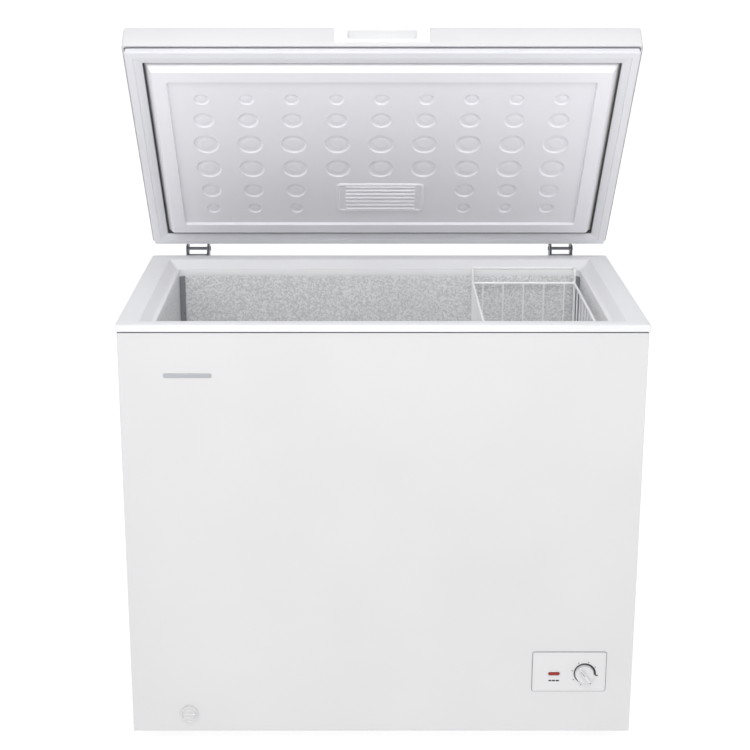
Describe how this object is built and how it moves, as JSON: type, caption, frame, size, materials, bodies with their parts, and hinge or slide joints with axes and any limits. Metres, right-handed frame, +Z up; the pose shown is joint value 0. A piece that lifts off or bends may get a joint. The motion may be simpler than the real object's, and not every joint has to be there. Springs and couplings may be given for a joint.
{
  "type": "chest freezer",
  "caption": "Chest freezer with a hinged insulated lid held open, embossed metal tub, hanging wire basket, front thermostat knob with lamp, and a front drain cap.",
  "frame": {"origin": "on the floor under the middle of the whole object's box with the lid in its open rest pose", "axes": "+Z up, -Y is the front with the knob, +X is the right side seen from the front"},
  "size_m": [0.905, 0.6093, 1.2557],
  "materials": {
    "white_steel": "gloss",
    "zinc_steel": "satin",
    "foam": "matte",
    "stucco_aluminium": "satin",
    "rim_plastic": "satin",
    "lid_liner": "satin",
    "gasket": "matte",
    "white_plastic": "gloss",
    "coated_wire": "gloss",
    "compressor_black": "satin",
    "black_rubber": "matte",
    "black_plastic": "matte",
    "grey_plastic": "matte",
    "copper": "satin",
    "red_lens": "gloss",
    "hinge_steel": "satin",
    "pin_steel": "polished",
    "spring_steel": "satin"
  },
  "bodies": {
    "cabinet": {"cabinet_front_panel": "white_steel", "cabinet_left_panel": "white_steel", "cabinet_right_panel": "white_steel", "cabinet_back_panel": "zinc_steel", "base_pan": "zinc_steel", "compressor_tray": "zinc_steel", "rear_grille": "zinc_steel", "rear_grille_screws": "pin_steel", "levelling_feet": "grey_plastic", "power_cord_gland": "black_rubber", "foam_front": "foam", "foam_back": "foam", "foam_left": "foam", "foam_right": "foam", "foam_floor": "foam", "foam_step": "foam", "inner_liner": "stucco_aluminium", "rim_frame": "rim_plastic", "evaporator_tube": "copper", "condenser_tube": "compressor_black", "compressor": "compressor_black", "compressor_grommets": "black_rubber", "compressor_nuts": "pin_steel", "starter_cover": "black_plastic", "filter_drier": "copper", "suction_tube": "copper", "discharge_tube": "copper", "capillary_tube": "copper", "control_panel_plate": "white_plastic", "indicator_lamp": "red_lens", "thermostat_body": "grey_plastic", "drain_tube": "grey_plastic", "hinge_cabinet_screws": "pin_steel", "hinge_cabinet_bracket_left": "hinge_steel", "hinge_pin_left": "pin_steel", "hinge_spring_left": "spring_steel", "hinge_cabinet_bracket_right": "hinge_steel", "hinge_pin_right": "pin_steel", "hinge_spring_right": "spring_steel"},
    "lid": {"lid_outer_shell": "white_steel", "lid_foam": "foam", "lid_inner_panel": "lid_liner", "lid_gasket": "gasket", "lid_handle": "white_plastic", "hinge_lid_bracket_left": "hinge_steel", "hinge_lid_bracket_right": "hinge_steel", "hinge_lid_screws": "pin_steel"},
    "basket": {"basket_floor": "coated_wire", "basket_left_side": "coated_wire", "basket_right_side": "coated_wire", "basket_front_side": "coated_wire", "basket_back_side": "coated_wire", "basket_hanger_front": "coated_wire", "basket_hanger_back": "coated_wire"},
    "knob": {"thermostat_knob": "white_plastic"},
    "drain_cap": {"drain_cap": "white_plastic"},
    "drain_plug": {"drain_plug": "white_plastic"},
    "plunger_left": {"hinge_plunger_left": "grey_plastic"},
    "plunger_right": {"hinge_plunger_right": "grey_plastic"}
  },
  "joints": [
    {"name": "lid_hinge", "type": "hinge", "parent": "cabinet", "child": "lid", "pos_m": [0, 0.2673, 0.793], "axis": [-1, 0, 0], "range_deg": [-50.9, 39.1]},
    {"name": "knob_turn", "type": "hinge", "parent": "cabinet", "child": "knob", "pos_m": [0.364, -0.2906, 0.1357], "axis": [0, -1, 0], "range_deg": [-150, 120]},
    {"name": "basket_slide", "type": "slide", "parent": "cabinet", "child": "basket", "axis": [1, 0, 0], "range_m": [-0.566, 0.006]},
    {"name": "drain_cap_pull", "type": "slide", "parent": "cabinet", "child": "drain_cap", "axis": [0, -1, 0], "range_m": [0, 0.03]},
    {"name": "drain_plug_lift", "type": "slide", "parent": "cabinet", "child": "drain_plug", "axis": [0, 0, 1], "range_m": [0, 0.03]},
    {"name": "spring_plunger_left", "type": "slide", "parent": "cabinet", "child": "plunger_left", "axis": [0, 0, 1], "range_m": [-0.0058, 0.0045], "deforming": ["hinge_spring_left"]},
    {"name": "spring_plunger_right", "type": "slide", "parent": "cabinet", "child": "plunger_right", "axis": [0, 0, 1], "range_m": [-0.0058, 0.0045], "deforming": ["hinge_spring_right"]}
  ],
  "couplings": [
    {"joint": "spring_plunger_left", "follows": "lid_hinge", "m_per_rad": 0.0063662},
    {"joint": "spring_plunger_right", "follows": "lid_hinge", "m_per_rad": 0.0063662}
  ]
}
